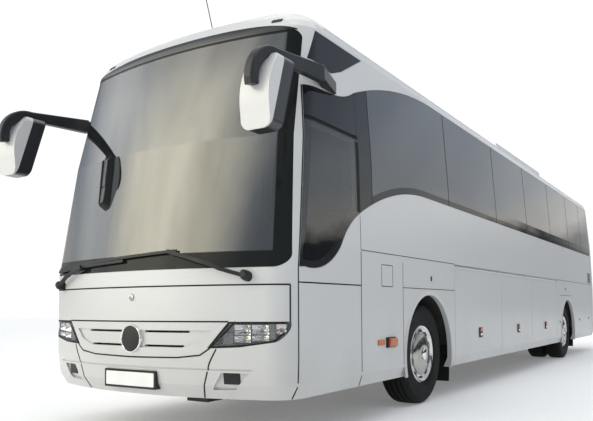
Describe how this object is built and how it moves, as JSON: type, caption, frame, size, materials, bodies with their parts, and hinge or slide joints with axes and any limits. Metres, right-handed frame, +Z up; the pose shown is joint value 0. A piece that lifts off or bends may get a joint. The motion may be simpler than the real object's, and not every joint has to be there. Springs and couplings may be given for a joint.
{
  "type": "coach bus",
  "caption": "Two-axle touring coach with raked windscreen, tinted side windows, swing-out passenger doors, lift-up luggage flaps and steered front wheels.",
  "frame": {"origin": "on the ground under the middle of the overall length and width, mirrors included", "axes": "+Y towards the tail, +X towards the coach's left side, +Z up; the front faces -Y"},
  "size_m": [2.872, 13.255, 3.8267],
  "materials": {
    "white_paint": "gloss",
    "tinted_glass": "gloss",
    "clear_glass": "gloss",
    "lamp_clear": "gloss",
    "lamp_red": "gloss",
    "reflector": "polished",
    "dark_plastic": "matte",
    "mid_grey_plastic": "satin",
    "tyre_rubber": "matte",
    "wheel_steel": "polished",
    "frame_black": "satin",
    "cast_iron": "rough",
    "steel": "satin",
    "seat_fabric": "matte",
    "floor_grey": "matte",
    "aluminium_rail": "satin"
  },
  "bodies": {
    "coach": {"dashboard": "dark_plastic", "deck": "floor_grey", "door_steps": "floor_grey", "driver_panel": "white_paint", "engine_block": "cast_iron", "flap_rails": "aluminium_rail", "fog_lamps": "lamp_clear", "front_axle": "frame_black", "front_bumper": "white_paint", "front_flap": "white_paint", "front_mask": "white_paint", "grille_panel": "white_paint", "headlamp_housings": "reflector", "headlamp_lenses": "lamp_clear", "lower_panels_left": "white_paint", "lower_panels_right": "white_paint", "luggage_hold": "floor_grey", "luggage_racks": "mid_grey_plastic", "main_frames": "frame_black", "mirror_arms": "dark_plastic", "mirrors": "white_paint", "rear_axle": "cast_iron", "rear_bumper": "white_paint", "rear_wall": "white_paint", "rear_window": "tinted_glass", "roof": "white_paint", "roof_fittings": "dark_plastic", "roof_unit": "white_paint", "seats": "seat_fabric", "side_glass_left": "tinted_glass", "side_glass_right": "tinted_glass", "side_wall_left": "white_paint", "side_wall_right": "white_paint", "steering_wheel": "dark_plastic", "tail_lamps": "lamp_red", "wheel_houses": "dark_plastic", "windscreen": "clear_glass"},
    "engine_lid": {"engine_lid": "white_paint"},
    "front_door": {"front_door": "white_paint", "front_door_glass": "tinted_glass"},
    "front_door_arm": {"front_door_arm": "steel"},
    "mid_door": {"mid_door": "white_paint", "mid_door_glass": "tinted_glass"},
    "mid_door_arm": {"mid_door_arm": "steel"},
    "knuckle_left": {"knuckle_left": "cast_iron"},
    "knuckle_right": {"knuckle_right": "cast_iron"},
    "track_rod": {"track_rod": "steel"},
    "front_wheel_left": {"front_tyre_left": "tyre_rubber", "front_wheel_left": "wheel_steel"},
    "front_wheel_right": {"front_tyre_right": "tyre_rubber", "front_wheel_right": "wheel_steel"},
    "rear_wheel_left": {"rear_tyres_left": "tyre_rubber", "rear_wheel_left": "wheel_steel"},
    "rear_wheel_right": {"rear_tyres_right": "tyre_rubber", "rear_wheel_right": "wheel_steel"},
    "luggage_flap_left_1": {"luggage_flap_left_1": "white_paint"},
    "luggage_flap_left_2": {"luggage_flap_left_2": "white_paint"},
    "luggage_flap_left_3": {"luggage_flap_left_3": "white_paint"},
    "luggage_flap_right_1": {"luggage_flap_right_1": "white_paint"},
    "luggage_flap_right_2": {"luggage_flap_right_2": "white_paint"}
  },
  "joints": [
    {"name": "steer_left", "type": "hinge", "parent": "coach", "child": "knuckle_left", "pos_m": [0.93, -3.5525, 0.505], "axis": [0, 0, 1], "range_deg": [-45, 45]},
    {"name": "steer_right", "type": "hinge", "parent": "coach", "child": "knuckle_right", "pos_m": [-0.93, -3.5525, 0.505], "axis": [0, 0, 1], "range_deg": [-45, 45]},
    {"name": "track_rod_turn", "type": "hinge", "parent": "knuckle_left", "child": "track_rod", "pos_m": [0.93, -3.4025, 0.36], "axis": [0, 0, 1], "range_deg": [-45, 45]},
    {"name": "front_wheel_left_spin", "type": "hinge", "parent": "knuckle_left", "child": "front_wheel_left", "pos_m": [1.06, -3.5525, 0.505], "axis": [1, 0, 0], "continuous": true},
    {"name": "front_wheel_right_spin", "type": "hinge", "parent": "knuckle_right", "child": "front_wheel_right", "pos_m": [-1.06, -3.5525, 0.505], "axis": [1, 0, 0], "continuous": true},
    {"name": "rear_wheel_left_spin", "type": "hinge", "parent": "coach", "child": "rear_wheel_left", "pos_m": [0.89, 3.3575, 0.505], "axis": [1, 0, 0], "continuous": true},
    {"name": "rear_wheel_right_spin", "type": "hinge", "parent": "coach", "child": "rear_wheel_right", "pos_m": [-0.89, 3.3575, 0.505], "axis": [1, 0, 0], "continuous": true},
    {"name": "front_door_swing", "type": "hinge", "parent": "coach", "child": "front_door_arm", "pos_m": [-1.15, -5.6325, 1.5], "axis": [0, 0, 1], "range_deg": [0, 140]},
    {"name": "front_door_follow", "type": "hinge", "parent": "front_door_arm", "child": "front_door", "pos_m": [-1.15, -5.0825, 1.5], "axis": [0, 0, 1], "range_deg": [-140, 0]},
    {"name": "mid_door_swing", "type": "hinge", "parent": "coach", "child": "mid_door_arm", "pos_m": [-1.15, 1.3875, 1.5], "axis": [0, 0, -1], "range_deg": [0, 140]},
    {"name": "mid_door_follow", "type": "hinge", "parent": "mid_door_arm", "child": "mid_door", "pos_m": [-1.15, 0.8375, 1.5], "axis": [0, 0, -1], "range_deg": [-140, 0]},
    {"name": "flap_left_1_lift", "type": "hinge", "parent": "coach", "child": "luggage_flap_left_1", "pos_m": [1.263, -1.9125, 1.424], "axis": [0, -1, 0], "range_deg": [0, 95]},
    {"name": "flap_left_2_lift", "type": "hinge", "parent": "coach", "child": "luggage_flap_left_2", "pos_m": [1.263, -0.2075, 1.424], "axis": [0, -1, 0], "range_deg": [0, 95]},
    {"name": "flap_left_3_lift", "type": "hinge", "parent": "coach", "child": "luggage_flap_left_3", "pos_m": [1.263, 1.5075, 1.424], "axis": [0, -1, 0], "range_deg": [0, 95]},
    {"name": "flap_right_1_lift", "type": "hinge", "parent": "coach", "child": "luggage_flap_right_1", "pos_m": [-1.263, -1.9125, 1.424], "axis": [0, 1, 0], "range_deg": [0, 95]},
    {"name": "flap_right_2_lift", "type": "hinge", "parent": "coach", "child": "luggage_flap_right_2", "pos_m": [-1.263, -0.2075, 1.424], "axis": [0, 1, 0], "range_deg": [0, 95]},
    {"name": "engine_lid_lift", "type": "hinge", "parent": "coach", "child": "engine_lid", "pos_m": [0, 6.6115, 1.577], "axis": [1, 0, 0], "range_deg": [0, 80]}
  ],
  "couplings": [
    {"joint": "steer_right", "follows": "steer_left", "ratio": 1},
    {"joint": "track_rod_turn", "follows": "steer_left", "ratio": -1},
    {"joint": "front_door_follow", "follows": "front_door_swing", "ratio": -1},
    {"joint": "mid_door_follow", "follows": "mid_door_swing", "ratio": -1}
  ]
}
